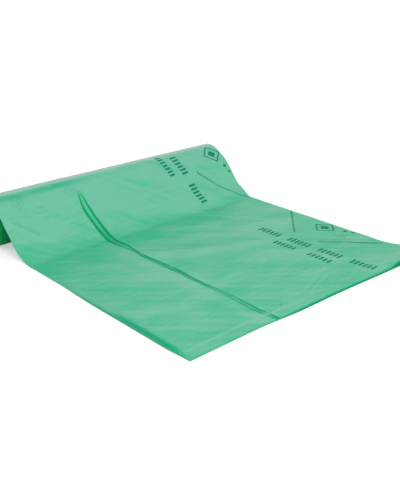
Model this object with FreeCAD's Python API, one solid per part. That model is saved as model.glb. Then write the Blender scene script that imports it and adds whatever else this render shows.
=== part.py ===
import FreeCAD, Part
import math
import os

# A coreless roll of bin bags, with the first bag pulled out over the table.
# The whole roll is one web: a tube of thin film, pushed in at both sides so that
# it lies as four plies, wound up and never cut. So it is one solid.
# +X runs along the roll, the pulled-out bag lies towards -Y, and Z is up.

# Driving sizes, in millimetres and degrees

web_width = 575.0            # the folded tube, and so the length of the roll
tight_radius = 45.0          # the tightly wound turns
turn_looseness = 4.6         # how much larger the last turn's radius is
hole_radius = 9.0            # left by the winding spindle
flat_spot_width = 19.0       # where the soft roll lies on the table
front_reach = 577.0          # from the roll's axis to the bag's front edge

ply = 0.3                    # one layer of film with its share of trapped air
ply_gap = 0.2                # the slit between two layers at the open mouth

leave_angle_left = 49.0      # slope of the bag where it leaves the roll
leave_angle_right = 40.0
landing_radius_left = 78.0   # bend where the bag comes down on the table
landing_radius_right = 30.0

gusset_from_left = 185.0     # left edge to the line where the two gussets meet
gusset_gap = 5.5             # between the two inner folds
bead_width = 1.8             # the rounded fold that stands up under the top ply
bead_height = 0.7
bead_end = 26.0              # in front of the roll's axis, where the folds flatten out
cling_length = 40.0          # the plies cling together this far in front of the bend

lift_height = 18.0           # the raised right corner of the mouth
lift_width = 90.0
lift_depth = 75.0

turn_pitch = 4.0             # one visible band of turns on the roll's ends
turn_groove_width = 1.2
turn_groove_depth = 1.4
rim_width = 2.0              # plain ring left inside and outside the spiral

# Sizes that follow from them

stack = 4 * ply + 3 * ply_gap
outer_turn_radius = tight_radius + turn_looseness
turn_inner_radius = outer_turn_radius - stack
flat_sink = outer_turn_radius - math.sqrt(outer_turn_radius**2 - (flat_spot_width / 2) ** 2)
tight_axis_z = tight_radius - flat_sink
turn_axis_z = outer_turn_radius - flat_sink
left_x = -web_width / 2
right_x = web_width / 2
gusset_x = left_x + gusset_from_left

# The origin is under the middle of the whole part, so the roll's axis lies behind it.
axis_y = (front_reach - outer_turn_radius) / 2
front_y = axis_y - front_reach

# The undersides of the slits between the four plies
first_gap = ply
second_gap = 2 * ply + ply_gap
third_gap = 3 * ply + 2 * ply_gap

cut_margin = 10.0            # how far a cutting block runs past what it cuts


def block(x0, x1, y0, y1, z0, z1):
    """A box between two corners."""
    corner = FreeCAD.Vector(x0, y0, z0)
    return Part.makeBox(x1 - x0, y1 - y0, z1 - z0, corner)


def line(a, b):
    return Part.LineSegment(a, b).toShape()


def arc(a, middle, b):
    return Part.Arc(a, middle, b).toShape()


def closed_outline(inside, outside):
    """A wire from two rails that run the same way, with their ends joined."""
    far_end = line(inside[-1].lastVertex().Point, outside[-1].lastVertex().Point)
    near_end = line(outside[0].firstVertex().Point, inside[0].firstVertex().Point)
    return Part.Wire(inside + [far_end] + outside[::-1] + [near_end])


class FilmPath:
    """The line that the underside of the film follows on one side of the web."""

    def __init__(self, x, leave_angle, landing_radius):
        self.x = x
        self.slope = math.radians(leave_angle)
        self.landing_radius = landing_radius
        touch_y = axis_y - turn_inner_radius * math.sin(self.slope)
        touch_z = turn_axis_z + turn_inner_radius * math.cos(self.slope)
        rise = touch_z - landing_radius * (1 - math.cos(self.slope))
        slope_start_y = touch_y - rise / math.tan(self.slope)
        self.landing_y = slope_start_y - landing_radius * math.sin(self.slope)

    def on_bend(self, angle, offset):
        """A point of the landing bend, angle up from the table."""
        bend = self.landing_radius - offset
        y = self.landing_y + bend * math.sin(angle)
        return FreeCAD.Vector(self.x, y, self.landing_radius - bend * math.cos(angle))

    def on_turn(self, angle, offset):
        """A point of the loose turn, angle back over the roll from its front."""
        turn = turn_inner_radius + offset
        y = axis_y - turn * math.cos(angle)
        return FreeCAD.Vector(self.x, y, turn_axis_z + turn * math.sin(angle))

    def rail(self, offset):
        """Edges along the film at a distance from its underside.

        They run up the landing bend, straight up the slope and on around the roll
        to its top.
        """
        landing = self.on_bend(0, offset)
        bend_middle = self.on_bend(self.slope / 2, offset)
        slope_foot = self.on_bend(self.slope, offset)
        top_angle = math.pi / 2
        leave_angle = top_angle - self.slope
        slope_head = self.on_turn(leave_angle, offset)
        turn_middle = self.on_turn((leave_angle + top_angle) / 2, offset)
        top = self.on_turn(top_angle, offset)
        return [
            arc(landing, bend_middle, slope_foot),
            line(slope_foot, slope_head),
            arc(slope_head, turn_middle, top),
        ]


left_path = FilmPath(left_x, leave_angle_left, landing_radius_left)
right_path = FilmPath(right_x, leave_angle_right, landing_radius_right)
landing_y = min(left_path.landing_y, right_path.landing_y)


def sloping_film(low, high):
    """A layer of the film between two offsets, from the table to the roll's top.

    The left side comes off the roll steeply and lands softly, and the right side
    bulges forward, so the layer is ruled from one side's section to the other's.
    """
    left = closed_outline(left_path.rail(low), left_path.rail(high))
    right = closed_outline(right_path.rail(low), right_path.rail(high))
    return Part.makeLoft([left, right], True, True)


def flat_film(low, high):
    """The same layer where it lies on the table, from the front edge to the bend."""
    corners = [
        FreeCAD.Vector(left_x, front_y, low),
        FreeCAD.Vector(right_x, front_y, low),
        FreeCAD.Vector(right_x, right_path.landing_y, low),
        FreeCAD.Vector(left_x, left_path.landing_y, low),
    ]
    outline = Part.makePolygon(corners + corners[:1])
    return Part.Face(outline).extrude(FreeCAD.Vector(0, 0, high - low))


def film_layer(low, high):
    return flat_film(low, high).fuse(sloping_film(low, high))


def loose_turn():
    """The back half of the last turn, from the top of the roll down to the table."""

    def half_circle(offset):
        top, back, under = math.pi / 2, math.pi, 1.5 * math.pi
        upper = arc(
            left_path.on_turn(top, offset),
            left_path.on_turn((top + back) / 2, offset),
            left_path.on_turn(back, offset),
        )
        lower = arc(
            left_path.on_turn(back, offset),
            left_path.on_turn((back + under) / 2, offset),
            left_path.on_turn(under, offset),
        )
        return [upper, lower]

    outline = closed_outline(half_circle(0), half_circle(stack))
    return Part.Face(outline).extrude(FreeCAD.Vector(web_width, 0, 0))


def tight_turns():
    """The tightly wound turns, with the spindle's hole through them."""
    start = FreeCAD.Vector(left_x, axis_y, tight_axis_z)
    along = FreeCAD.Vector(1, 0, 0)
    turns = Part.makeCylinder(tight_radius, web_width, start, along)
    hole = Part.makeCylinder(hole_radius, web_width, start, along)
    return turns.cut(hole)


def spiral_rail(x, start_radius, half_turns):
    """A spiral of half circles, each wider than the last by half a pitch."""
    edges = []
    for k in range(half_turns):
        side = 1 if k % 2 == 0 else -1
        centre_y = axis_y - side * turn_pitch / 4
        radius = start_radius + k * turn_pitch / 2
        start = FreeCAD.Vector(x, centre_y + side * radius, tight_axis_z)
        middle = FreeCAD.Vector(x, centre_y, tight_axis_z + side * radius)
        end = FreeCAD.Vector(x, centre_y - side * radius, tight_axis_z)
        edges.append(arc(start, middle, end))
    return edges


def turn_groove(x, depth):
    """The spiral groove between the bands of turns on one end of the roll."""
    room = tight_radius - hole_radius - 2 * rim_width - turn_groove_width
    half_turns = int(2 * room / turn_pitch)
    inner_radius = hole_radius + rim_width + turn_pitch / 4
    inner = spiral_rail(x, inner_radius, half_turns)
    outer = spiral_rail(x, inner_radius + turn_groove_width, half_turns)
    groove = Part.Face(closed_outline(inner, outer))
    return groove.extrude(FreeCAD.Vector(depth, 0, 0))


def end_grooves():
    """The same spiral on both ends, cut inwards."""
    left = turn_groove(left_x, turn_groove_depth)
    right = turn_groove(right_x, -turn_groove_depth)
    return [left, right]


def gusset_beads():
    """The two inner folds of the gussets, standing up along the bag."""
    raised = film_layer(stack - bead_height, stack + bead_height)
    beads = []
    for side in (-1, 1):
        middle = gusset_x + side * (gusset_gap + bead_width) / 2
        low_x = middle - bead_width / 2
        high_x = middle + bead_width / 2
        end_y = axis_y - bead_end
        slab = block(low_x, high_x, front_y, end_y, 0, 2 * outer_turn_radius)
        beads.append(raised.common(slab))
    return beads


def mouth_slits():
    """The spaces between the plies, open at the bag's mouth.

    The tube's outer folds lie along both sides of the web, so the upper and lower
    pairs of plies are closed there. The gussets' own slit is open at the sides and
    ends at the inner folds, and between the two folds the tube is hollow.
    """
    mouth_y = front_y - cut_margin
    back_y = landing_y - cling_length
    fold_left = gusset_x - gusset_gap / 2
    fold_right = gusset_x + gusset_gap / 2

    def slit(x0, x1, z0, z1):
        return block(x0, x1, mouth_y, back_y, z0, z1)

    return [
        slit(left_x + ply, right_x - ply, first_gap, first_gap + ply_gap),
        slit(left_x + ply, right_x - ply, third_gap, third_gap + ply_gap),
        slit(left_x - cut_margin, fold_left - ply, second_gap, second_gap + ply_gap),
        slit(fold_right + ply, right_x + cut_margin, second_gap, second_gap + ply_gap),
        slit(fold_left, fold_right, first_gap, third_gap + ply_gap),
    ]


def corner_section(x, lift):
    """The upper pair of plies at x, bent up from the table by lift at the front."""
    back_y = front_y + lift_depth

    def bent(z):
        """An arc that starts level at the back, or a straight line where lift is 0."""
        back = FreeCAD.Vector(x, back_y, z)
        front = FreeCAD.Vector(x, front_y, z + lift)
        if lift == 0:
            return line(back, front)
        radius = (lift_depth**2 + lift**2) / (2 * lift)
        half_angle = math.atan(lift / lift_depth)
        middle_y = back_y - radius * math.sin(half_angle)
        middle = FreeCAD.Vector(x, middle_y, z + radius * (1 - math.cos(half_angle)))
        return arc(back, middle, front)

    return closed_outline([bent(second_gap + ply_gap)], [bent(stack)])


def lifted_corner():
    """The right corner of the mouth, where the upper plies curl off the lower ones."""
    flat = corner_section(right_x - lift_width, 0)
    raised = corner_section(right_x, lift_height)
    return Part.makeLoft([flat, raised], True, True)


def corner_space():
    """What the upper plies filled before their corner was lifted."""
    return block(
        right_x - lift_width,
        right_x + cut_margin,
        front_y - cut_margin,
        front_y + lift_depth,
        second_gap + ply_gap,
        stack + cut_margin,
    )


def bag_roll():
    """The wound turns, the loose last turn and the pulled-out bag as one solid."""
    web = tight_turns().fuse([loose_turn(), film_layer(0, stack)] + gusset_beads())
    below = block(
        left_x - cut_margin,
        right_x + cut_margin,
        front_y - cut_margin,
        axis_y + outer_turn_radius + cut_margin,
        -cut_margin,
        0,
    )
    opened = web.cut([below, corner_space()] + mouth_slits() + end_grooves())
    return opened.fuse(lifted_corner()).removeSplitter()


parts = {"bag_roll": bag_roll()}

os.makedirs("parts", exist_ok=True)
for name, shape in parts.items():
    shape.exportStep("parts/" + name + ".step")
    print(name, "solids", len(shape.Solids), "valid", shape.isValid(), "volume", round(shape.Volume))
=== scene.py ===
import math

import bpy
import numpy as np
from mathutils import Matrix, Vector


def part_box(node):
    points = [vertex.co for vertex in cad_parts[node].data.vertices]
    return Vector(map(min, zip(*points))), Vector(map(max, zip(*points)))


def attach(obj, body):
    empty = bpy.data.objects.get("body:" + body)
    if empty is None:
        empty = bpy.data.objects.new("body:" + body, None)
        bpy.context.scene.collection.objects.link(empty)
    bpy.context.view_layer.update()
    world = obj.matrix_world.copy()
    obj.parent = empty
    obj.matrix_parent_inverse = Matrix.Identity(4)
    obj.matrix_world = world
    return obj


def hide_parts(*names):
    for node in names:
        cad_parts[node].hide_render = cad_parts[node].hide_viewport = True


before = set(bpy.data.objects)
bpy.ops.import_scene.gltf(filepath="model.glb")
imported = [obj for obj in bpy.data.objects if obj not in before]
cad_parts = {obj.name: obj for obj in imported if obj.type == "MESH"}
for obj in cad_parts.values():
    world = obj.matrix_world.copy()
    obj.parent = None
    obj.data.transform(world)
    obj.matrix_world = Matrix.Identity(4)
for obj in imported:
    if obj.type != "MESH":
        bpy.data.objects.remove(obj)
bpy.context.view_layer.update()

# A coreless roll of bin bags in thin green film, with the first bag pulled out over
# the table. The film is worked out as a sheet whose two coordinates are x, along the
# roll, and s, the distance along the film from the line where it comes down on the
# table: s is negative on the flat bag, and grows up the slope and around the roll.
# All sizes are in metres.

MM = 0.001
RANDOM_SEED = 24
(
    FLAT_SEED, SLOPE_SEED, TURN_SEED, SLACK_SEED, CLOUD_SEED,
    STREAK_SEED, LANDING_SEED, WEAR_SEED, ENDS_SEED,
) = range(RANDOM_SEED, RANDOM_SEED + 9)

# The frame's own sizes
LOW, HIGH = (np.array(corner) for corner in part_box("bag_roll"))
LEFT_X, RIGHT_X = LOW[0], HIGH[0]
WEB_WIDTH = RIGHT_X - LEFT_X
FRONT_Y = LOW[1]

# The roll: its turns, the hole that the spindle leaves, and the spot it rests on
OUTER_TURN_RADIUS = 49.6 * MM
TURN_RADIUS = 48.0 * MM
ROLL_RADIUS = 45.0 * MM
TIGHT_RADIUS = 44.8 * MM
HOLE_RADIUS = 9.0 * MM
HOLE_RIM = 2.0 * MM
TURN_PITCH = 4.0 * MM
FLAT_SPOT_WIDTH = 19.0 * MM
FLAT_SINK = OUTER_TURN_RADIUS - math.sqrt(OUTER_TURN_RADIUS**2 - (FLAT_SPOT_WIDTH / 2) ** 2)
AXIS_Y = HIGH[1] - OUTER_TURN_RADIUS
TURN_AXIS_Z = OUTER_TURN_RADIUS - FLAT_SINK
TIGHT_AXIS_Z = ROLL_RADIUS - FLAT_SINK

# The film's way down to the table, at the web's left and right sides
LEAVE_ANGLE = (math.radians(49.0), math.radians(40.0))
LANDING_RADIUS = (78.0 * MM, 30.0 * MM)
LEFT_SAG = 3.0 * MM
RIGHT_BULGE = 4.3 * MM
RIGHT_HOLLOW = 4.8 * MM

# The film's two pairs of plies, and the air between them
PAIR_THICKNESS = 0.45 * MM
PAIR_GAP = 0.2 * MM
TABLE_GAP = 0.05 * MM
LOWER_TOP = TABLE_GAP + PAIR_THICKNESS
UPPER_LOW = LOWER_TOP + PAIR_GAP
UPPER_TOP = UPPER_LOW + PAIR_THICKNESS

# The two inner folds of the gussets, which are seen as a double line
GUSSET_X = LEFT_X + 185.0 * MM
GUSSET_SHIFT = -1.8 * MM
GUSSET_LEAN = -5.0 * MM
GUSSET_BOW = 4.2 * MM
GUSSET_WAVE = 1.7 * MM
WIDE_SPREAD = 12.8 * MM
NARROW_SPREAD = 7.0 * MM
SPREAD_WAVE = 1.5 * MM
FOLD_HALF_WIDTH = 1.5 * MM
FOLD_HEIGHT = 0.8 * MM

# The open mouth, and its lifted right corner
MOUTH_GAP = 1.6 * MM
MOUTH_DEPTH = 45.0 * MM
LIFT_HEIGHT = 18.0 * MM
LIFT_WIDTH = 104.0 * MM
LIFT_DEPTH = 95.0 * MM
WELD_INSET = 24.0 * MM
GUSSET_DRIFT = 5.5 * MM
RIGHT_DRIFT = 7.0 * MM

# The springy outer fold along the bag's near left side
SWELL_HEIGHT = 3.2 * MM
SWELL_WIDTH = 13.0 * MM
SWELL_DRIFT = 2.6 * MM
NEAR_CORNER = -440.0 * MM


# Shapes of numbers

def smooth(t):
    """Rises from 0 to 1 as t does, level at both ends: 3 t squared less 2 t cubed."""
    t = np.clip(t, 0.0, 1.0)
    return t * t * (3.0 - 2.0 * t)


def rise(value, start, over):
    """0 up to start, 1 from start + over on, and smooth in between."""
    return smooth((value - start) / over)


def bell(t):
    """A bell of height 1 about t = 0: e to the power of minus t squared."""
    return np.exp(-t * t)


def bell_at(value, middle, reach):
    """A bell about middle, which is down to 0.37 at reach beside it."""
    return bell((value - middle) / reach)


def wave(value, crest, length):
    """A cosine of that wavelength with one of its crests at crest."""
    return np.cos(2.0 * math.pi * (value - crest) / length)


def side_mix(x, pair):
    """A value that goes evenly from the web's left side to its right side."""
    share = (x - LEFT_X) / WEB_WIDTH
    return pair[0] + (pair[1] - pair[0]) * share


def cloudy(x, s, seed, wavelength, count=14):
    """A soft random pattern of about -1 to 1: a sum of waves in random directions."""
    rng = np.random.default_rng(seed)
    total = np.zeros_like(x)
    for _ in range(count):
        heading = rng.uniform(0.0, math.pi)
        turns = 2.0 * math.pi / (wavelength * rng.uniform(0.6, 1.7))
        shift = rng.uniform(0.0, 2.0 * math.pi)
        total += np.cos(turns * (x * math.cos(heading) + s * math.sin(heading)) + shift)
    return total / math.sqrt(count)


def front_drift(x):
    """How far the mouth runs out: a step at the gusset line, then more to the right."""
    step = GUSSET_DRIFT * rise(x, start=LEFT_X + 138 * MM, over=110 * MM)
    return step + RIGHT_DRIFT * rise(x, start=0.0, over=260 * MM)


def side_swell(s):
    """1 where the left outer fold is most swollen, fading to 0 towards both ends."""
    return rise(-s, start=90 * MM, over=120 * MM) * rise(s, start=NEAR_CORNER, over=60 * MM)


def side_green(s):
    """How far the left outer fold is seen as a deep green band, from 0 to 1."""
    return rise(-s, start=232 * MM, over=68 * MM) * rise(s, start=NEAR_CORNER, over=50 * MM)


# The film's path

class FilmPath:
    """The line that the film follows at each x, before its wrinkles.

    From the front edge it runs flat to the landing line, up an arc of the landing
    radius, straight up a slope that touches the loose turn's circle, and on around
    that circle to the table under the roll.
    """

    def __init__(self, x):
        self.x = x
        self.slope = side_mix(x, LEAVE_ANGLE)
        self.bend = side_mix(x, LANDING_RADIUS)
        touch_y = AXIS_Y - TURN_RADIUS * np.sin(self.slope)
        touch_z = TURN_AXIS_Z + TURN_RADIUS * np.cos(self.slope)
        climb = touch_z - self.bend * (1.0 - np.cos(self.slope))
        run = climb / np.tan(self.slope) + self.bend * np.sin(self.slope)
        self.landing_y = touch_y - run
        self.bend_length = self.bend * self.slope
        self.slope_length = climb / np.sin(self.slope)
        self.turn_start = self.bend_length + self.slope_length
        self.turn_length = TURN_RADIUS * (math.pi + self.slope)
        self.front = FRONT_Y - front_drift(x) - self.landing_y

    def place(self, s):
        """y, z and the angle of the film at distance s past the landing line."""
        on_bend = np.clip(s / self.bend, 0.0, self.slope)
        on_slope = np.clip(s - self.bend_length, 0.0, self.slope_length)
        y = self.landing_y + np.minimum(s, 0.0) + self.bend * np.sin(on_bend)
        y = y + on_slope * np.cos(self.slope)
        z = self.bend * (1.0 - np.cos(on_bend)) + on_slope * np.sin(self.slope)
        around = np.maximum(s - self.turn_start, 0.0) / TURN_RADIUS
        back = math.pi / 2 - self.slope + around
        turning = around > 0.0
        y = np.where(turning, AXIS_Y - TURN_RADIUS * np.cos(back), y)
        z = np.where(turning, TURN_AXIS_Z + TURN_RADIUS * np.sin(back), z)
        angle = np.where(turning, math.pi / 2 - back, on_bend)
        return y, z, angle

    def belly(self, s):
        """How far the free film stands off its straight slope.

        It sags a little at the left. At the right it bulges at the top of the slope
        and hangs in further down.
        """
        t = (s - self.bend_length) / self.slope_length
        left_sag = -LEFT_SAG * bell_at(t, middle=0.6, reach=0.33)
        right_wave = RIGHT_BULGE * bell_at(t, middle=0.78, reach=0.19)
        right_wave -= RIGHT_HOLLOW * bell_at(t, middle=0.28, reach=0.18)
        rightness = smooth((self.x - LEFT_X) / WEB_WIDTH) ** 1.6
        return left_sag * (1.0 - rightness) + right_wave * rightness

    def stood_off(self, s, away):
        """y, z and the angle at distance s, moved off the path by away and the belly."""
        y, z, angle = self.place(s)
        away = away + self.belly(s)
        return y - away * np.sin(angle), z + away * np.cos(angle), angle


# Relief of the film

# Kinds of wrinkles: how many there are, and the ranges that each one's values are from
FLAT_WRINKLES = dict(
    seed=FLAT_SEED, count=330, s_range=(-440 * MM, 40 * MM), heading=(-58.0, -26.0),
    length=(14 * MM, 60 * MM), half_width=(2.4 * MM, 7.0 * MM), height=(-0.3 * MM, 0.5 * MM),
)
SLOPE_WRINKLES = dict(
    seed=SLOPE_SEED, count=90, s_range=(0.0, 190 * MM), heading=(-38.0, 12.0),
    length=(25 * MM, 80 * MM), half_width=(3.4 * MM, 9.0 * MM), height=(-0.35 * MM, 0.55 * MM),
)
TURN_WRINKLES = dict(
    seed=TURN_SEED, count=60, s_range=(140 * MM, 340 * MM), heading=(-12.0, 12.0),
    length=(30 * MM, 90 * MM), half_width=(4.0 * MM, 9.0 * MM), height=(-0.2 * MM, 0.35 * MM),
)
SLACK = dict(
    seed=SLACK_SEED, count=34, s_range=(-440 * MM, 60 * MM), heading=(-60.0, 0.0),
    length=(50 * MM, 120 * MM), half_width=(14.0 * MM, 30.0 * MM), height=(0.2 * MM, 1.1 * MM),
)
WRINKLE_LEVEL = 0.1 * MM
PRESSED_SOFTNESS = 0.12 * MM

# Long creases, in millimetres: start, end, half width and height
CREASES = (
    ((-8.0, -416.0), (110.0, -375.0), 2.4, 1.0),
    ((75.0, -429.0), (146.0, -408.0), 2.0, 0.7),
    ((2.0, -292.0), (96.0, -243.0), 2.6, 0.6),
    ((-9.0, -406.0), (131.0, -352.0), 2.2, 0.7),
    ((-18.0, 136.0), (102.0, 62.0), 3.0, 0.7),
    ((-4.0, 118.0), (80.0, 82.0), 2.6, 0.5),
    ((150.0, 70.0), (262.0, 20.0), 3.2, 0.8),
    ((-230.0, 96.0), (-150.0, 118.0), 2.4, 0.5),
    ((-205.0, 62.0), (-140.0, 84.0), 2.4, 0.4),
    ((-124.0, 198.0), (-108.0, 190.0), 1.6, 1.3),
)


def ridges(x, s, seed, count, s_range, heading, length, half_width, height):
    """Wrinkles: a sum of long narrow waves at random places.

    Each is a crest between two shallow troughs, (1 - 0.6 q) e^-q with q the square of
    the distance beside its slightly curved line over its half width, and it fades out
    along the line as a bell. heading, length, half_width and height are ranges.
    """
    rng = np.random.default_rng(seed)
    total = np.zeros_like(x)
    for _ in range(count):
        middle_x = rng.uniform(LEFT_X, RIGHT_X)
        middle_s = rng.uniform(*s_range)
        turned = math.radians(rng.uniform(*heading))
        half_length = rng.uniform(*length)
        narrow = rng.uniform(*half_width)
        tall = rng.uniform(*height)
        bow = rng.uniform(-0.08, 0.08)
        along = (x - middle_x) * math.cos(turned) + (s - middle_s) * math.sin(turned)
        beside = (s - middle_s) * math.cos(turned) - (x - middle_x) * math.sin(turned)
        share = along / half_length
        q = ((beside - bow * half_length * share * share) / narrow) ** 2
        total += tall * (1.0 - 0.6 * q) * np.exp(-q - share * share)
    return total


def crease(x, s, start, end, half_width, height):
    """One long crease: a narrow bell beside the line from start to end.

    It rises and fades over the first and last quarter of its length.
    """
    run_x, run_s = end[0] - start[0], end[1] - start[1]
    length = math.hypot(run_x, run_s)
    along = ((x - start[0]) * run_x + (s - start[1]) * run_s) / length**2
    beside = ((s - start[1]) * run_x - (x - start[0]) * run_s) / length
    shown = smooth(along / 0.25) * smooth((1.0 - along) / 0.25)
    return height * shown * bell(beside / half_width)


def gusset_middle(s):
    """Where the gusset line lies across the web at distance s.

    It leans to the left up the slope, bows to the right above the landing bend, and
    waves slowly on the flat bag.
    """
    lean = GUSSET_LEAN * rise(s, start=0.0, over=95 * MM)
    lean += GUSSET_BOW * bell_at(s, middle=36 * MM, reach=36 * MM)
    waved = GUSSET_WAVE * wave(s, crest=-44 * MM, length=138 * MM)
    return GUSSET_X + GUSSET_SHIFT + lean + waved * rise(-s, start=0.0, over=30 * MM)


def gusset_spread(s):
    """How far the gusset's two folds lie apart.

    They are wide apart from the landing bend to the top of the slope. They are closer
    on the flat bag, where the spread waves a little, and above the slope.
    """
    wide = rise(s, start=-75 * MM, over=45 * MM) * (1.0 - rise(s, start=92 * MM, over=40 * MM))
    waved = SPREAD_WAVE * wave(s, crest=-175 * MM, length=205 * MM)
    return WIDE_SPREAD * wide + (NARROW_SPREAD + waved * (s < 0.0)) * (1.0 - wide)


def gusset_shown(s):
    """How well the gusset line is seen along the flat bag: it is faint midway."""
    return 1.0 - 0.65 * bell_at(s, middle=-330 * MM, reach=60 * MM)


def weld_gap(s, front):
    """Nearly 0 where the weld by the mouth hides the gusset line, and 1 elsewhere."""
    return 1.0 - 0.92 * bell_at(s - front, middle=WELD_INSET, reach=7 * MM)


def fold_wear(s, side):
    """How wide a gusset fold looks on the flat bag, as a factor on its half width.

    The right one is wide, with two short gaps, and the left one is thin.
    """
    gaps = 0.8 * bell_at(s, middle=-92 * MM, reach=10 * MM)
    gaps += 0.75 * bell_at(s, middle=-172 * MM, reach=8 * MM)
    wide = 1.25 * (1.0 - gaps) if side > 0 else 0.6
    wear = wide + 0.25 * cloudy(s + 0.3 * side, 0.0 * s, WEAR_SEED, 55 * MM)
    return np.clip(wear, 0.2, 1.5) * gusset_shown(s)


def gusset_lines(x, s, turn_start):
    """Two values for each point: how much it is on a fold, and how much between both.

    Both end at the roll.
    """
    spread = gusset_spread(s)
    shown = 1.0 - rise(s - turn_start, start=-12 * MM, over=16 * MM)
    beside = x - gusset_middle(s)
    left = bell_at(beside, middle=-spread / 2, reach=FOLD_HALF_WIDTH)
    right = bell_at(beside, middle=spread / 2, reach=FOLD_HALF_WIDTH)
    folds = np.maximum(left, right) * shown
    between = rise(spread / 2 - np.abs(beside), start=0.0, over=1.2 * MM) * shown
    return folds, between


def corner_lift(x, y):
    """How high the right corner of the mouth is raised.

    It is the full height times the share of the way to the side, to the power of 0.85,
    times the share of the way to the mouth, to the power of 1.6, and it starts softly.
    """
    across = np.clip((x - RIGHT_X + LIFT_WIDTH) / LIFT_WIDTH, 0.0, 1.0)
    mouth_y = FRONT_Y - front_drift(x)
    inward = np.clip((mouth_y + LIFT_DEPTH - y) / LIFT_DEPTH, 0.0, 1.0)
    return LIFT_HEIGHT * across**0.85 * smooth(across / 0.2) * inward**1.6


def mouth_lift(x, y):
    """The small gap between the plies along the mouth, right of the gusset line."""
    right_of_gusset = rise(x, start=GUSSET_X, over=60 * MM)
    inward = smooth((FRONT_Y + MOUTH_DEPTH - y) / MOUTH_DEPTH)
    return MOUTH_GAP * right_of_gusset * inward**2


def relief(x, s, path):
    """How far the upper plies stand off the lower ones, and the wrinkles alone.

    Wrinkles below the level of the lower plies are pressed flat, by a smooth maximum.
    """
    on_flat = 1.0 - rise(s, start=10 * MM, over=50 * MM)
    on_turn = rise(s - path.turn_start, start=-20 * MM, over=30 * MM)
    total = ridges(x, s, **FLAT_WRINKLES) * on_flat
    total += ridges(x, s, **SLOPE_WRINKLES) * (1.0 - on_flat) * (1.0 - on_turn)
    total += ridges(x, s, **TURN_WRINKLES) * on_turn
    total += ridges(x, s, **SLACK) * on_flat
    total += WRINKLE_LEVEL
    for start, end, half_width, height in CREASES:
        start = (start[0] * MM, start[1] * MM)
        end = (end[0] * MM, end[1] * MM)
        total += crease(x, s, start, end, half_width * MM, height * MM)
    risen = 0.5 * (total + np.sqrt(total * total + PRESSED_SOFTNESS**2))
    inward = x - LEFT_X
    swell = SWELL_HEIGHT * side_swell(s) * bell_at(inward, middle=2 * MM, reach=SWELL_WIDTH)
    return risen + swell * rise(inward, start=0.0, over=1.6 * MM), total


# The numbers at each point that the film's colour goes by

# What each thing adds to the depth of colour, or takes from it where it is negative
BASE_DEPTH = 0.17
FLAT_DEPTH = 0.56
CLOUD_DEPTH = 0.11
STREAK_DEPTH = 0.12
# Painted highlight and shade on the wrinkles: paler on their crests, deeper in their valleys.
CREST_HIGHLIGHT_DEPTH = -0.2
BESIDE_GUSSET_DEPTH = -0.3
WELD_DEPTH = -0.5
PAST_WELD_DEPTH = -0.16
SIDE_DEPTH = 0.75


def roll_line(x, s, path):
    """The dark line under the roll's top, and how far a point is in its left part."""
    left_part = 1.0 - rise(x, start=-130 * MM, over=110 * MM)
    return bell_at(s - path.turn_start, middle=21 * MM, reach=9 * MM), left_part


def landing_shade(x, s):
    """Painted shade: the deeper colour in the hollow of the landing bend, cloudy and stronger to
    the right.

    It is a bell about the bend, which lies further out and is narrower to the right.
    """
    rightness = smooth((x - LEFT_X) / WEB_WIDTH)
    share = 0.24 + 0.18 * rightness - 0.14 * bell_at(x, middle=115 * MM, reach=50 * MM)
    middle = -12 * MM - 8 * MM * rightness
    reach = 60 * MM - 28 * MM * rightness
    share *= bell_at(s, middle, reach)
    return share * (0.85 + 0.25 * cloudy(x, 0.4 * s, LANDING_SEED, 210 * MM))


def depth_of_colour(x, s, path, wrinkles):
    """How saturated the film looks, from 0 for pale to 1 for deep.

    It is deep on the flat bag and pale up the slope, where the pale has part of a white
    reflection painted in. Painted shade makes it deep along the landing bend and in the
    valleys between the wrinkles, and painted highlight makes it pale on their crests. It
    is deep along the line under the roll's top and by the outer fold at the left. It is
    pale where the film meets the loose turn, beside the gusset line, and from the weld
    to the mouth.
    """
    sooner = smooth((x - LEFT_X) / WEB_WIDTH) ** 0.6
    on_flat = 1.0 - rise(s, start=-5 * MM * (1.0 - sooner), over=80 * MM - 45 * MM * sooner)
    cloud = CLOUD_DEPTH * cloudy(x, 1.5 * s, CLOUD_SEED, 130 * MM)
    streak = STREAK_DEPTH * cloudy(x + 0.9 * s, 3.2 * (s + 0.9 * x), STREAK_SEED, 90 * MM)
    line, left_part = roll_line(x, s, path)
    below_roll = (0.14 + 0.55 * left_part) * line
    below_roll -= (0.04 + 0.14 * left_part) * bell_at(s, path.turn_start, reach=16 * MM)
    # Painted highlight on the wrinkles' crests and painted shade in their valleys.
    raised = CREST_HIGHLIGHT_DEPTH * np.clip(wrinkles / (0.45 * MM), -1.3, 2.2)
    beside = bell_at(x - gusset_middle(s), middle=-21 * MM, reach=14 * MM) * on_flat
    past_weld = s - path.front - WELD_INSET
    weld = WELD_DEPTH * bell(past_weld / (3.2 * MM))
    weld += PAST_WELD_DEPTH * smooth(1.0 - past_weld / (4 * MM))
    total = BASE_DEPTH + FLAT_DEPTH * on_flat + cloud + streak + landing_shade(x, s)
    total += below_roll + raised + BESIDE_GUSSET_DEPTH * beside
    total += weld * (1.0 - rise(x, start=GUSSET_X, over=190 * MM))
    total += SIDE_DEPTH * side_green(s) * smooth(1.0 - (x - LEFT_X) / (18 * MM))
    return np.clip(total, 0.0, 1.0)


def top_sheen_of_roll(s):
    """Painted light: a pale band of sheen and of light through the loose turn along the top of
    the roll, which fades out down its back.
    """
    return rise(s, start=164 * MM, over=12 * MM) * (1.0 - rise(s, start=200 * MM, over=30 * MM))


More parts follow.
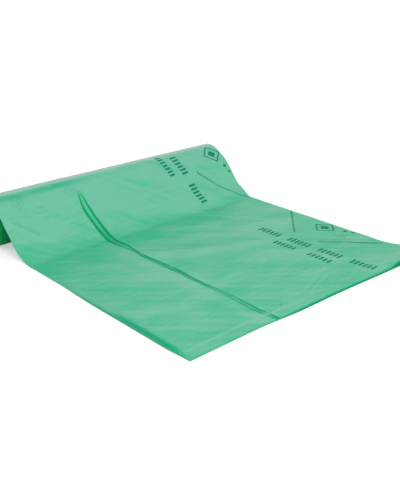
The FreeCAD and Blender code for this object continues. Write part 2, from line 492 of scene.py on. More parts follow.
def edge_and_mouth_shade(x, y, s):
    """How deep green the edges are: the mouth, most of all at the right, where it is partly
    painted shade in the open mouth, and the left side, where the outer fold's thicker
    film is deep green with painted shade in its crease.
    """
    mouth_y = FRONT_Y - front_drift(x)
    open_side = 0.35 + 0.65 * rise(x, start=GUSSET_X, over=20 * MM)
    mouth = smooth(1.0 - (y - mouth_y) / (6.0 * MM)) * open_side
    side = 0.8 * smooth(1.5 - (x - LEFT_X) / (8.5 * MM))
    return np.maximum(mouth, side * side_green(s))


def upper_numbers(x, y, s, path, wrinkles):
    """The upper plies' numbers: how deep and folded they are, with painted shade in the
    open mouth; how bright between the folds, with a painted highlight on the mouth's lip
    and painted light on the landing bend; and how much painted sheen along the roll's top.

    Where it lies flat, the gusset line is deep green. On the slope it is bright between
    its two folds, and darker towards the landing bend.
    """
    folds, between = gusset_lines(x, s, path.turn_start)
    steep = rise(s, start=-70 * MM, over=50 * MM)
    gap = weld_gap(s, path.front)
    flat_gusset = between * (1.0 - steep) * gusset_shown(s) * gap
    deep = np.maximum(depth_of_colour(x, s, path, wrinkles), 0.9 * flat_gusset)
    line, left_part = roll_line(x, s, path)
    near_bend = 0.5 * (1.0 - rise(s, start=12 * MM, over=76 * MM))
    inner = np.maximum(0.45 * flat_gusset, 0.2 * line * left_part)
    inner = np.maximum(inner, between * steep * near_bend)
    middle = bell_at(x, gusset_middle(s), reach=4 * MM)
    middle *= 1.0 - 0.5 * bell_at(s, middle=24 * MM, reach=32 * MM)
    # Painted light: a brighter green over the landing bend, where it lifts the shade, and a
    # painted highlight along the mouth's rolled lip.
    landing = 0.4 * bell_at(s, middle=-5 * MM, reach=30 * MM)
    lip_highlight = 0.7 * bell_at(s - path.front, middle=6.5 * MM, reach=2.6 * MM) * (x > GUSSET_X)
    return {
        "deep": np.maximum(deep, folds * gap),
        "fold": np.maximum(edge_and_mouth_shade(x, y, s), inner),
        "between": np.maximum(np.maximum(between * steep * middle, lip_highlight), landing),
        "top_sheen": top_sheen_of_roll(s),
    }


# Grids over the film

# Steps of the grids on the flat, the bend, the slope and the turn
UPPER_STEPS = (140, 22, 36, 50)
LOWER_STEPS = (70, 14, 20, 50)
SIDE_STEPS = (150, 24, 30, 60)
UPPER_COLUMNS = 165
LOWER_COLUMNS = 60
MOUTH_POWER = 1.25

# Columns of the upper plies' grid about the gusset line and by each side, in millimetres
FINE_OFFSETS = (
    -12.0, -9.5, -8.0, -7.0, -6.2, -5.4, -4.6, -3.9, -3.2, -2.5, -1.6, -0.6,
    0.6, 1.6, 2.5, 3.2, 3.9, 4.6, 5.4, 6.2, 7.0, 8.0, 9.5, 12.0,
)
SIDE_OFFSETS = (0.4, 1.0, 2.0)


def row_distances(path, steps):
    """The grid's distances s at each x: each stretch of the path in even steps.

    steps holds the number of steps on the flat, the bend, the slope and the turn. On
    the flat the steps are shorter by the mouth: the share to the power of MOUTH_POWER.
    """
    ends = [
        path.front,
        np.zeros_like(path.front),
        path.bend_length,
        path.turn_start,
        path.turn_start + path.turn_length,
    ]
    powers = (MOUTH_POWER, 1.0, 1.0, 1.0)
    rows = []
    for start, end, count, power in zip(ends[:-1], ends[1:], steps, powers):
        share = (np.arange(count)[:, None] / count) ** power
        rows.append(start + (end - start) * share)
    rows.append(ends[-1][None, :])
    return np.concatenate(rows)


def upper_columns():
    """Places along x: even, and closer about the gusset line and at both sides."""
    even = np.linspace(LEFT_X, RIGHT_X, UPPER_COLUMNS)
    fine = np.array(FINE_OFFSETS) * MM + GUSSET_X
    beside = np.array(SIDE_OFFSETS) * MM
    taken = (even > fine[0] - 1.0 * MM) & (even < fine[-1] + 1.0 * MM)
    taken |= (even > LEFT_X) & (even < LEFT_X + beside[-1])
    taken |= (even < RIGHT_X) & (even > RIGHT_X - beside[-1])
    return np.sort(np.concatenate([even[~taken], fine, LEFT_X + beside, RIGHT_X - beside]))


def film_grid(columns, steps):
    """x, s and the path over a whole grid. The columns follow the gusset line."""
    s = row_distances(FilmPath(columns), steps)
    x = np.broadcast_to(columns, s.shape)
    aside = (gusset_middle(s) - GUSSET_X) * bell_at(x, GUSSET_X, reach=45 * MM)
    inside = (x > LEFT_X) & (x < RIGHT_X)
    x = np.where(inside, x + aside, x)
    return x, s, FilmPath(x)


def bulged(x, s):
    """x with the left side moved outward where its outer fold is swollen."""
    return x - SWELL_DRIFT * side_swell(s) * bell_at(x, LEFT_X, reach=25 * MM)


def kept_clear(y, z, turning, clear):
    """y and z, no nearer than clear to the tight turns or the table.

    Around the roll a point that would lie nearer is moved straight out from the roll's
    axis, and then no point is left lower than clear above the table.
    """
    dy, dz = y - AXIS_Y, z - TIGHT_AXIS_Z
    distance = np.maximum(np.hypot(dy, dz), 1.0 * MM)
    grow = np.maximum((ROLL_RADIUS + clear) / distance, 1.0)
    y = np.where(turning, AXIS_Y + dy * grow, y)
    z = np.where(turning, TIGHT_AXIS_Z + dz * grow, z)
    return y, np.maximum(z, clear)


def film_points(x, s, path, offset, height, lifted):
    """Points of the film at an offset from its path, with height above that.

    If lifted, the mouth's corner and its edge are raised too. No point is nearer than
    the offset to the tight turns or the table.
    """
    y, z, _ = path.stood_off(s, offset + height)
    if lifted:
        z = z + np.where(s < 0.0, corner_lift(x, y) + mouth_lift(x, y), 0.0)
    y, z = kept_clear(y, z, s > path.turn_start, offset)
    return np.stack([bulged(x, s), y, z], axis=-1)


# Meshes

def make_piece(name, points, faces, material, smooth_faces=True):
    """A mesh object in place, from an array of points and a list of faces."""
    mesh = bpy.data.meshes.new(name)
    mesh.from_pydata(points.tolist(), [], faces)
    mesh.polygons.foreach_set("use_smooth", np.full(len(mesh.polygons), smooth_faces))
    mesh.materials.append(material)
    mesh.update()
    piece = bpy.data.objects.new(name, mesh)
    bpy.context.scene.collection.objects.link(piece)
    return piece


def grid_faces(rows, columns, first=0, flip=False):
    """The quads of a grid whose points are numbered row by row from first."""
    number = np.arange(rows * columns).reshape(rows, columns) + first
    corners = [number[:-1, :-1], number[:-1, 1:], number[1:, 1:], number[1:, :-1]]
    if flip:
        corners.reverse()
    return np.stack(corners, axis=-1).reshape(-1, 4)


def rim_faces(rows, columns, first=0):
    """The quads that join the rims of two grids, the second numbered after the first."""
    number = np.arange(rows * columns).reshape(rows, columns) + first
    rim = np.concatenate([
        number[0, :-1], number[:-1, -1], number[-1, :0:-1], number[:0:-1, 0],
    ])
    after = np.roll(rim, -1)
    below = rows * columns
    return np.stack([rim, rim + below, after + below, after], axis=-1)


def slab(upper, lower, first=0):
    """Points and faces of a closed slab between two grids of points."""
    rows, columns, _ = upper.shape
    points = np.concatenate([upper.reshape(-1, 3), lower.reshape(-1, 3)])
    faces = np.concatenate([
        grid_faces(rows, columns, first),
        grid_faces(rows, columns, first + rows * columns, flip=True),
        rim_faces(rows, columns, first),
    ])
    return points, faces


def make_plies(name, upper, lower, values, material):
    """A pair of plies as one slab, with the numbers at each point for its material."""
    points, faces = slab(upper, lower)
    piece = make_piece(name, points, faces.tolist(), material)
    for value_name, value in values.items():
        layer = piece.data.attributes.new(value_name, "FLOAT", "POINT")
        both = np.stack([value, value]).astype(np.float32)
        layer.data.foreach_set("value", both.ravel())
    return piece


# The film's pieces

STRIP_ROWS = 260
STRIP_ACROSS = (-1.0, -0.6, -0.25, 0.0, 0.25, 0.6, 1.0)
STRIP_ON_FLAT = 1.35 * MM
STRIP_ON_SLOPE = 2.6 * MM
STRIP_BY_BEND = 0.8 * MM
BEAD_POINTS = 8
BEAD_RADIUS = 0.5 * MM
BEAD_SWELL = 1.1 * MM
BEAD_INSET = 0.6 * MM
STRIP_ABOVE = 0.14 * MM
INK_ABOVE = 0.16 * MM
FAINT_INK_ABOVE = 0.12 * MM
LAYER_BELOW = 0.1 * MM


def make_upper_plies(material):
    """The upper pair of plies, with the wrinkles and the gusset folds."""
    x, s, path = film_grid(upper_columns(), UPPER_STEPS)
    height, wrinkles = relief(x, s, path)
    folds, _ = gusset_lines(x, s, path.turn_start)
    height += FOLD_HEIGHT * folds
    upper = film_points(x, s, path, UPPER_TOP, height, True)
    lower = film_points(x, s, path, UPPER_LOW, height, True)
    values = upper_numbers(x, upper[..., 1], s, path, wrinkles)
    return make_plies("upper_plies", upper, lower, values, material)


def make_lower_plies(material):
    """The lower pair of plies, which lies on the table under the upper pair."""
    x, s, path = film_grid(np.linspace(LEFT_X, RIGHT_X, LOWER_COLUMNS), LOWER_STEPS)
    level = np.zeros_like(x)
    upper = film_points(x, s, path, LOWER_TOP, level, False)
    lower = film_points(x, s, path, TABLE_GAP, level, False)
    # Painted shade: inside the open mouth, right of the gusset line, the lower plies take the
    # fold's deep green for the shade under the lifted upper plies.
    inside = 0.9 * rise(path.front - s, start=-60 * MM, over=30 * MM) * (x > GUSSET_X)
    values = {"deep": level + 0.8, "fold": inside, "between": level, "top_sheen": level}
    return make_plies("lower_plies", upper, lower, values, material)


def make_layer(name, grids, material, above):
    """Thin slabs that follow the wrinkles of the upper plies, over grids of x and s."""
    points, faces = [], []
    count = 0
    for x, s in grids:
        path = FilmPath(x)
        folds, _ = gusset_lines(x, s, path.turn_start)
        height = relief(x, s, path)[0] + FOLD_HEIGHT * folds
        upper = film_points(x, s, path, UPPER_TOP + above, height, True)
        lower = film_points(x, s, path, UPPER_TOP - LAYER_BELOW, height, True)
        slab_points, slab_faces = slab(upper, lower, count)
        points.append(slab_points)
        faces.append(slab_faces)
        count += len(slab_points)
    return make_piece(name, np.concatenate(points), np.concatenate(faces).tolist(), material)


def fold_strip(side):
    """x and s over one of the two inner folds, which are seen through the upper plies.

    side is -1 for the left fold and 1 for the right one. A strip's half width is 2.6 mm
    to 3.4 mm on the slope. On the flat bag it is about 0.8 mm for the left fold and 1.7 mm
    for the right one, and thins out in places. It runs out to a point at the roll.
    """
    column = FilmPath(np.array([GUSSET_X]))
    start = column.front[0] + 1.0 * MM
    end = column.turn_start[0] - (4.0 + side) * MM
    along = np.linspace(start, end, STRIP_ROWS)
    s, across = np.meshgrid(along, STRIP_ACROSS, indexing="ij")
    steep = rise(s, start=-60 * MM, over=60 * MM)
    on_flat = STRIP_ON_FLAT * fold_wear(s, side) * weld_gap(s, start)
    on_slope = STRIP_ON_SLOPE + STRIP_BY_BEND * bell_at(s, middle=28 * MM, reach=32 * MM)
    half_width = on_flat * (1.0 - steep) + on_slope * steep
    half_width *= np.minimum(1.0, (end - s) / (45 * MM) + 0.08)
    x = gusset_middle(s) + side * gusset_spread(s) / 2 + across * half_width
    return x, s


def make_side_folds(material):
    """The two outer folds of the web: a round bead along each side of the bag.

    Its ring is centre + r (cos a, sin a) across the film, and r grows towards the near
    corner on the left side.
    """
    around = np.linspace(0.0, 2.0 * math.pi, BEAD_POINTS + 1)[:-1]
    points, faces = [], []
    count = 0
    for side, inward in ((LEFT_X, 1.0), (RIGHT_X, -1.0)):
        column = np.array([side + inward * BEAD_INSET])
        x, s, path = film_grid(column, SIDE_STEPS)
        radius = BEAD_RADIUS + BEAD_SWELL * side_swell(s) * (inward > 0)
        clear = radius + TABLE_GAP
        y, z, angle = path.stood_off(s, clear + relief(x, s, path)[0] * 0.5)
        z = z + np.where(s < 0.0, corner_lift(x, y), 0.0)
        y, z = kept_clear(y, z, s > path.turn_start, clear)
        ring_x = bulged(x, s) + radius * np.cos(around)
        ring_y = y - radius * np.sin(around) * np.sin(angle)
        ring_z = z + radius * np.sin(around) * np.cos(angle)
        ring = np.stack([ring_x, ring_y, ring_z], axis=-1)
        number = np.arange(ring_x.size).reshape(ring_x.shape) + count
        after = np.roll(number, -1, axis=1)
        corners = [number[:-1], after[:-1], after[1:], number[1:]]
        faces += np.stack(corners, axis=-1).reshape(-1, 4).tolist()
        faces += [number[0, ::-1].tolist(), number[-1].tolist()]
        points.append(ring.reshape(-1, 3))
        count += ring_x.size
    return make_piece("side_folds", np.concatenate(points), faces, material)


# The print: plain bars, dashes and diamonds, in film coordinates in millimetres

PATCH_STEP = 2.5

# Groups of upright bars: start, end, groups, bars in each, pitch, height and width
BAR_ROWS = (
    ((158, -154), (166, -424), 4, 6, 9.2, 17.0, 5.0),
    ((129, -220), (131, -350), 2, 6, 9.0, 14.0, 4.8),
    ((155, 155), (166, 32), 2, 6, 9.2, 17.0, 5.0),
    ((119, 166), (126, 102), 1, 7, 9.0, 14.0, 4.8),
)

# Rows of dashes: start, end, pitch, length and width
DASH_ROWS = (
    ((192, 102), (281, 6), 5.6, 3.4, 3.4),
    ((284, -121), (194, -211), 5.6, 3.4, 3.4),
    ((194, -277), (281, -364), 5.6, 4.2, 4.6),
)
FAINT_DASH_ROW = ((-268, 108), (-226, 67), 6.0, 4.0, 6.0)

# Filled diamonds: middle and reach
DIAMONDS = (
    ((261, 140), 11), ((275, 102), 5.0), ((280, 86), 4.0),
    ((261, -233), 11), ((275, -274), 5.0), ((280, -290), 4.0),
    ((-62.5, -406), 1.4),
)
FAINT_DIAMONDS = (((-243, 141), 6), ((-126, 139), 6))

# Diamonds drawn as a frame: middle, reach and width of the bars
DIAMOND_FRAMES = (((261, 140), 23, 3.0), ((261, -233), 23, 3.0))
FAINT_DIAMOND_FRAMES = (((-243, 141), 13, 1.6), ((-126, 139), 13, 1.6))


def patch(middle, half_along, half_across):
    """Points (x, s) of a parallelogram: middle + u half_along + v half_across."""
    steps_u = 1 + int(math.ceil(2 * math.hypot(*half_along) / PATCH_STEP))
    steps_v = 1 + int(math.ceil(2 * math.hypot(*half_across) / PATCH_STEP))
    u, v = np.meshgrid(np.linspace(-1, 1, steps_u + 1), np.linspace(-1, 1, steps_v + 1))
    x = middle[0] + u * half_along[0] + v * half_across[0]
    s = middle[1] + u * half_along[1] + v * half_across[1]
    return x * MM, s * MM


def directions(start, end):
    """The length of a line, and the unit directions along and across it."""
    run = np.array(end) - np.array(start)
    length = np.hypot(*run)
    heading = run / length
    return length, heading, np.array([-heading[1], heading[0]])


def bar_row(start, end, groups, bars, pitch, tall, wide):
    """Groups of upright bars along the line from start to end."""
    length, heading, across = directions(start, end)
    gap = (length - groups * (bars - 1) * pitch) / max(groups - 1, 1)
    patches = []
    for group in range(groups):
        for bar in range(bars):
            at = group * ((bars - 1) * pitch + gap) + bar * pitch
            middle = np.array(start) + heading * at
            patches.append(patch(middle, heading * wide / 2, across * tall / 2))
    return patches


def dash_row(start, end, pitch, long, wide):
    """Even dashes that lie along the line from start to end."""
    length, heading, across = directions(start, end)
    return [
        patch(np.array(start) + heading * at, heading * long / 2, across * wide / 2)
        for at in np.arange(0.0, length, pitch)
    ]


def diamond(middle, reach):
    """A filled square that stands on its corner."""
    return [patch(middle, (reach / 2, reach / 2), (-reach / 2, reach / 2))]


def diamond_frame(middle, reach, wide):
    """Four bars around a diamond, which overlap at its corners by about half a width."""
    half = reach / 2
    half_long = half + wide / 3
    half_wide = wide / 2.83
    patches = []
    for turn_x, turn_s in ((1, 1), (-1, 1), (-1, -1), (1, -1)):
        at = (middle[0] + turn_x * half, middle[1] + turn_s * half)
        along = (half_long * turn_x, -half_long * turn_s)
        patches.append(patch(at, along, (turn_x * half_wide, turn_s * half_wide)))
    return patches


def mark_patches(bar_rows, dash_rows, diamonds, frames):
    """The patches of all the marks in four tables, one table after the other."""
    patches = []
    for make, table in (
        (bar_row, bar_rows), (dash_row, dash_rows), (diamond, diamonds), (diamond_frame, frames),
    ):
        for sizes in table:
            patches += make(*sizes)
    return patches


# The wound turns

POINTS_AROUND = 144
POINTS_ON_END = 170
POINTS_ON_BARREL = 12
GROOVE_DEPTH = 1.1 * MM
FINE_GROOVE_DEPTH = 0.16 * MM
FINE_TURNS = 4.0
SETBACK_REACH = 0.45 * MM
SETBACK_COUNT = 64


def grooved(turn):
    """A ripple from 0 to 1 with a crest at each whole turn: half of 1 plus a cosine."""
    return 0.5 + 0.5 * np.cos(2.0 * math.pi * turn)


def make_wound_turns(material):
    """The tight turns: a ring profile carried around the roll's axis.

    The profile runs out along the left end, along the barrel, in along the right end
    and back through the hole. On both ends each turn lies a little further in or out
    than the next, and a deeper spiral groove parts them into bundles.
    """
    around = np.linspace(0.0, 2.0 * math.pi, POINTS_AROUND + 1)[:-1]
    end_radii = np.linspace(HOLE_RADIUS, TIGHT_RADIUS, POINTS_ON_END)
    barrel = np.linspace(LEFT_X, RIGHT_X, POINTS_ON_BARREL + 2)[1:-1]
    radius = np.concatenate([
        end_radii, np.full(len(barrel), TIGHT_RADIUS), end_radii[::-1],
        np.full(len(barrel), HOLE_RADIUS),
    ])
    along = np.concatenate([
        np.full(len(end_radii), LEFT_X), barrel,
        np.full(len(end_radii), RIGHT_X), barrel[::-1],
    ])
    r, a = np.meshgrid(radius, around, indexing="ij")
    x = np.broadcast_to(along[:, None], r.shape)
    turn = (r - HOLE_RADIUS - HOLE_RIM) / TURN_PITCH - a / (2.0 * math.pi)
    fine_turn = turn * FINE_TURNS
    setbacks = np.random.default_rng(ENDS_SEED).uniform(0.0, SETBACK_REACH, SETBACK_COUNT)
    depth = setbacks[np.floor(fine_turn).astype(int) % SETBACK_COUNT]
    depth += GROOVE_DEPTH * grooved(turn) ** 8 + FINE_GROOVE_DEPTH * grooved(fine_turn)
    depth *= smooth((r - HOLE_RADIUS) / HOLE_RIM) * smooth((TIGHT_RADIUS - r) / (0.6 * MM))
    inward = np.where(x <= LEFT_X, 1.0, np.where(x >= RIGHT_X, -1.0, 0.0))
    x = x + inward * depth
    y = AXIS_Y + r * np.cos(a)
    z = np.maximum(TIGHT_AXIS_Z + r * np.sin(a), UPPER_TOP + TABLE_GAP)
    points = np.stack([x, y, z], axis=-1)
    number = np.arange(r.size).reshape(r.shape)
    below = np.roll(number, -1, axis=0)
    corners = [number, np.roll(number, -1, axis=1), np.roll(below, -1, axis=1), below]
    faces = np.stack(corners, axis=-1).reshape(-1, 4)
    return make_piece("wound_turns", points.reshape(-1, 3), faces.tolist(), material)


# Materials

def screen_colour(red, green, blue):
    """A colour as it looks on screen, from 0 to 255, for a shader's socket."""
    share = np.array([red, green, blue]) / 255.0
    high = ((share + 0.055) / 1.055) ** 2.4
    return (*np.where(share <= 0.04045, share / 12.92, high), 1.0)


def white_to_the_eye(tree, socket):
    """1 into a socket for rays from the camera, and for reflected and refracted ones."""
    rays = tree.nodes.new("ShaderNodeLightPath")
    total = rays.outputs["Is Camera Ray"]
    for name in ("Is Glossy Ray", "Is Transmission Ray"):
        maths = tree.nodes.new("ShaderNodeMath")
        maths.operation = "MAXIMUM"
        tree.links.new(total, maths.inputs[0])
        tree.links.new(rays.outputs[name], maths.inputs[1])
        total = maths.outputs[0]
    tree.links.new(total, socket)


class Shading:
    """Short forms for the nodes of one material."""

    def __init__(self, name):
        self.material = bpy.data.materials.new(name)
        self.material.use_nodes = True
        self.tree = self.material.node_tree
        self.tree.nodes.clear()
        self.output = self.tree.nodes.new("ShaderNodeOutputMaterial")

    def node(self, kind, **settings):
        """A new node of a kind, with its settings."""
        made = self.tree.nodes.new(kind)
        for name, value in settings.items():
            setattr(made, name, value)
        return made

    def join(self, source, target):
        """A link from one socket to another."""
        self.tree.links.new(source, target)

    def value(self, name):
        """The piece's own number of that name."""
        return self.node("ShaderNodeAttribute", attribute_name=name).outputs["Fac"]

    def blend(self, amount, first, second):
        """A colour that goes from first to second. Both may be sockets or colours."""
        mix = self.node("ShaderNodeMix", data_type="RGBA")
        for socket, given in ((0, amount), (6, first), (7, second)):
            if hasattr(given, "is_linked"):
                self.join(given, mix.inputs[socket])
            else:
                mix.inputs[socket].default_value = given
        return mix.outputs[2]

    def sum(self, first, factor, second):
        """first times factor plus second, kept between 0 and 1."""
        maths = self.node("ShaderNodeMath", operation="MULTIPLY_ADD", use_clamp=True)
        self.join(first, maths.inputs[0])
        maths.inputs[1].default_value = factor
        self.join(second, maths.inputs[2])
        return maths.outputs[0]

    def maths(self, operation, first, second=0.0):
        """One step of arithmetic on a socket, kept between 0 and 1 for a product."""
        step = self.node("ShaderNodeMath", operation=operation)
        step.use_clamp = operation == "MULTIPLY"
        self.join(first, step.inputs[0])
        step.inputs[1].default_value = second
        return step.outputs[0]

    def noise(self, scale, detail, squeeze=1.0, turned=0.0):
        """A noise on the piece's own place, drawn out along a line turned about z."""
        place = self.node("ShaderNodeTexCoord").outputs["Object"]
        mapping = self.node("ShaderNodeMapping")
        mapping.inputs["Rotation"].default_value = (0.0, 0.0, math.radians(turned))
        mapping.inputs["Scale"].default_value = (squeeze, 1.0, 1.0)
        self.join(place, mapping.inputs["Vector"])
        noise = self.node("ShaderNodeTexNoise")
        noise.inputs["Scale"].default_value = scale
        noise.inputs["Detail"].default_value = detail
        self.join(mapping.outputs["Vector"], noise.inputs["Vector"])
        return noise.outputs["Fac"]

    def bump(self, height, strength, distance):
        """A normal that is tilted by a height."""
        bump = self.node("ShaderNodeBump")
        bump.inputs["Strength"].default_value = strength
        bump.inputs["Distance"].default_value = distance
        self.join(height, bump.inputs["Height"])
        return bump.outputs["Normal"]

    def mix(self, share, first, second):
        """A node that mixes two nodes' light: share is how much comes from second."""
        mixed = self.node("ShaderNodeMixShader")
        mixed.inputs["Fac"].default_value = share
        self.join(first.outputs[0], mixed.inputs[1])
        self.join(second.outputs[0], mixed.inputs[2])
        return mixed

    def finish(self, last):
        """The material, with its last node joined to its surface."""
        self.join(last.outputs[0], self.output.inputs["Surface"])
        return self.material


WHITE = (1.0, 1.0, 1.0, 1.0)
BLACK = (0.0, 0.0, 0.0, 1.0)
# PALE is the film's light green with part of a white reflection painted in.
PALE = screen_colour(126, 214, 182)
DEEP = screen_colour(40, 205, 154)
# The whitish colour of the painted sheen along the roll's top.
SHEEN_WHITE = screen_colour(196, 226, 216)
# Deep green of folds and edges, also used as painted shade in the open mouth, under the lifted
# plies and in the left fold's crease.
FOLD_AND_SHADE_GREEN = screen_colour(6, 182, 132)
# Bright green between the gusset's folds, also used for the painted highlight on the mouth's lip
# and painted light on the landing bend.
GAP_AND_HIGHLIGHT_GREEN = screen_colour(80, 214, 166)
CLEAR_TINT = screen_colour(196, 240, 222)

# The film's shares of clear and of scattered light, of the painted pale sheen in its colour
# along the roll's top where it is strongest, its roughness, what a fold adds to that, and its
# refraction
CLEAR_SHARE = 0.18
SCATTERED_SHARE = 0.18
SHEEN_SHARE = 0.66
SMOOTH_ROUGHNESS = 0.31
ADDED_ROUGHNESS = 0.6
FILM_IOR = 1.4


def make_film():
    """Thin green film, softly glossy, with painted light and shade in its colour.

    Its colour goes from pale, which has part of a white reflection painted in, to deep
    by the piece's own numbers and a streaky noise, with thin pale lines, painted
    highlights of fine crinkles, where a second noise passes its middle. A painted pale
    sheen lies along the roll's top, and the bright green and the fold green are partly
    painted highlight and painted shade. CLEAR_SHARE of the light passes straight
    through each of its faces, and part of the rest is scattered to the other side. It
    is duller where it is folded over.
    """
    shading = Shading("green_film")
    # Painted highlights: thin pale lines of fine crinkles where this noise passes its middle.
    lines = shading.noise(34.0, 3.0, squeeze=0.2, turned=36.0)
    off_line = shading.maths("ABSOLUTE", shading.maths("SUBTRACT", lines, 0.5))
    off_line = shading.maths("MULTIPLY", off_line, 28.0)
    streaks = shading.noise(150.0, 3.0, squeeze=0.22, turned=42.0)
    depth = shading.sum(shading.maths("SUBTRACT", streaks, 0.5), 0.48, shading.value("deep"))
    depth = shading.sum(shading.maths("SUBTRACT", off_line, 1.0), 0.22, depth)
    colour = shading.blend(depth, PALE, DEEP)
    # Painted light: a pale sheen along the roll's top.
    sheened = shading.blend(SHEEN_SHARE, colour, SHEEN_WHITE)
    colour = shading.blend(shading.value("top_sheen"), colour, sheened)
    # Bright green between the gusset's folds, and painted highlight and light at the lip and
    # landing bend.
    colour = shading.blend(shading.value("between"), colour, GAP_AND_HIGHLIGHT_GREEN)
    # Fold green: the folds' own deep green, partly painted shade in the open mouth and the left
    # fold's crease.
    colour = shading.blend(shading.value("fold"), colour, FOLD_AND_SHADE_GREEN)
    fine = shading.noise(240.0, 5.0, squeeze=0.35, turned=42.0)
    dullness = shading.maths("MULTIPLY", shading.value("fold"), ADDED_ROUGHNESS)
    body = shading.node("ShaderNodeBsdfPrincipled")
    body.inputs["IOR"].default_value = FILM_IOR
    shading.join(shading.maths("ADD", dullness, SMOOTH_ROUGHNESS), body.inputs["Roughness"])
    shading.join(colour, body.inputs["Base Color"])
    shading.join(shading.bump(fine, strength=0.5, distance=1.0 * MM), body.inputs["Normal"])
    scattered = shading.node("ShaderNodeBsdfTranslucent")
    shading.join(colour, scattered.inputs["Color"])
    clear = shading.node("ShaderNodeBsdfTransparent")
    clear.inputs["Color"].default_value = CLEAR_TINT
    film_body = shading.mix(SCATTERED_SHARE, body, scattered)
    return shading.finish(shading.mix(CLEAR_SHARE, film_body, clear))


def make_plain(name, first, second, roughness, gloss, scale):
    """A solid green that drifts between two colours over a soft noise."""
    shading = Shading(name)
    cloud = shading.noise(scale, 3.0)
    body = shading.node("ShaderNodeBsdfPrincipled")
    body.inputs["Roughness"].default_value = roughness
    body.inputs["Specular IOR Level"].default_value = gloss
    colour = shading.blend(cloud, screen_colour(*first), screen_colour(*second))
    shading.join(colour, body.inputs["Base Color"])
    shading.join(shading.bump(cloud, strength=0.3, distance=0.4 * MM), body.inputs["Normal"])
    return shading.finish(body)


# The solid greens: name, two colours, roughness, gloss and scale of the noise
PLAIN_GREENS = (
    ("green_turns", (0, 126, 58), (0, 156, 80), 0.5, 0.08, 60.0),
    ("fold_green", (14, 166, 112), (34, 178, 128), 0.4, 0.3, 90.0),
    ("gusset_green", (10, 142, 90), (16, 160, 106), 0.5, 0.02, 90.0),
    ("green_ink", (0, 125, 92), (0, 143, 106), 0.5, 0.05, 300.0),
    ("faint_ink", (86, 178, 148), (94, 184, 154), 0.5, 0.3, 300.0),
)


# Putting the object together

film = make_film()
turns_green, fold_green, gusset_green, ink, faint_ink = (
    make_plain(*looks) for looks in PLAIN_GREENS
)
strips = [fold_strip(-1.0), fold_strip(1.0)]
marks = mark_patches(BAR_ROWS, DASH_ROWS, DIAMONDS, DIAMOND_FRAMES)
faint = mark_patches((), (FAINT_DASH_ROW,), FAINT_DIAMONDS, FAINT_DIAMOND_FRAMES)

wound_turns = make_wound_turns(turns_green)
lower_plies = make_lower_plies(film)
upper_plies = make_upper_plies(film)
gusset_folds = make_layer("gusset_folds", strips, gusset_green, STRIP_ABOVE)
side_folds = make_side_folds(fold_green)
print_marks = make_layer("print_marks", marks, ink, INK_ABOVE)
faint_marks = make_layer("faint_marks", faint, faint_ink, FAINT_INK_ABOVE)

pieces = (
    wound_turns, lower_plies, upper_plies, gusset_folds, side_folds, print_marks, faint_marks,
)
for piece in pieces:
    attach(piece, "root")
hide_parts("bag_roll")


# Floor, light and camera

FLOOR_REACH = 8.0
FLOOR_GREY = (0.64, 0.64, 0.64, 1.0)
FLOOR_GLOW = {"From Min": 0.5, "From Max": 2.0, "To Min": 0.48, "To Max": 0.8}
SKY_LIGHT = 0.715
SENSOR_WIDTH = 36.0
LENS = 53.61
CAMERA_PLACE = (-0.88749, -0.99398, 0.55803)
CAMERA_DOWN = 23.069
CAMERA_TURN = -42.297


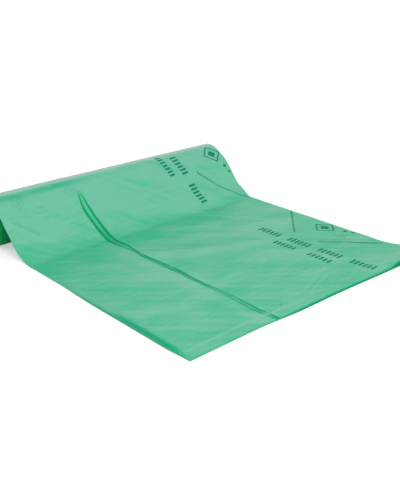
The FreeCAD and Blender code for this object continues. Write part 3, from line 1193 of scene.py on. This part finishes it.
def make_floor():
    """A plain white floor that takes the object's shadow, and glows more far off."""
    shading = Shading("white_floor")
    diffuse = shading.node("ShaderNodeBsdfDiffuse")
    diffuse.inputs["Color"].default_value = FLOOR_GREY
    distance = shading.node("ShaderNodeVectorMath", operation="LENGTH")
    shading.join(shading.node("ShaderNodeTexCoord").outputs["Object"], distance.inputs[0])
    spread = shading.node("ShaderNodeMapRange")
    for name, value in FLOOR_GLOW.items():
        spread.inputs[name].default_value = value
    shading.join(distance.outputs["Value"], spread.inputs["Value"])
    glow = shading.node("ShaderNodeEmission")
    glow.inputs["Color"].default_value = WHITE
    shading.join(spread.outputs["Result"], glow.inputs["Strength"])
    dark = shading.node("ShaderNodeBsdfTransparent")
    dark.inputs["Color"].default_value = BLACK
    seen = shading.mix(0.0, dark, glow)
    white_to_the_eye(shading.tree, seen.inputs["Fac"])
    both = shading.node("ShaderNodeAddShader")
    shading.join(diffuse.outputs[0], both.inputs[0])
    shading.join(seen.outputs[0], both.inputs[1])
    corners = FLOOR_REACH * np.array([[-1, -1, 0], [1, -1, 0], [1, 1, 0], [-1, 1, 0]])
    floor = make_piece("floor", corners, [[0, 1, 2, 3]], shading.finish(both), False)


def make_world():
    """White all round: full white to the eye, and a softer level as light."""
    world = bpy.data.worlds.new("studio")
    world.use_nodes = True
    tree = world.node_tree
    tree.nodes.clear()
    output = tree.nodes.new("ShaderNodeOutputWorld")
    mix = tree.nodes.new("ShaderNodeMixShader")
    for number, strength in ((1, SKY_LIGHT), (2, 1.0)):
        background = tree.nodes.new("ShaderNodeBackground")
        background.inputs["Color"].default_value = WHITE
        background.inputs["Strength"].default_value = strength
        tree.links.new(background.outputs[0], mix.inputs[number])
    white_to_the_eye(tree, mix.inputs["Fac"])
    tree.links.new(mix.outputs[0], output.inputs["Surface"])
    bpy.context.scene.world = world


def make_lamp(name, place, size, watts):
    """A soft square lamp at place, turned towards the origin."""
    data = bpy.data.lights.new(name, "AREA")
    data.size = size
    data.energy = watts
    lamp = bpy.data.objects.new(name, data)
    lamp.location = place
    turn = math.atan2(place[0], -place[1])
    tilt = math.atan2(math.hypot(place[0], place[1]), place[2])
    lamp.rotation_euler = (tilt, 0.0, turn)
    bpy.context.scene.collection.objects.link(lamp)


def make_camera():
    """The photograph's view: 23 degrees down, from the front left."""
    data = bpy.data.cameras.new("camera")
    data.sensor_width = SENSOR_WIDTH
    data.lens = LENS
    camera = bpy.data.objects.new("camera", data)
    camera.location = CAMERA_PLACE
    camera.rotation_euler = (math.radians(90.0 - CAMERA_DOWN), 0.0, math.radians(CAMERA_TURN))
    bpy.context.scene.collection.objects.link(camera)
    bpy.context.scene.camera = camera


make_floor()
make_world()
make_lamp("back_lamp", place=(1.5, 1.7, 1.5), size=1.5, watts=2.6)
make_lamp("front_lamp", place=(-0.5, -2.2, 1.5), size=1.2, watts=36.0)
make_camera()
bpy.context.scene.view_settings.view_transform = "Standard"
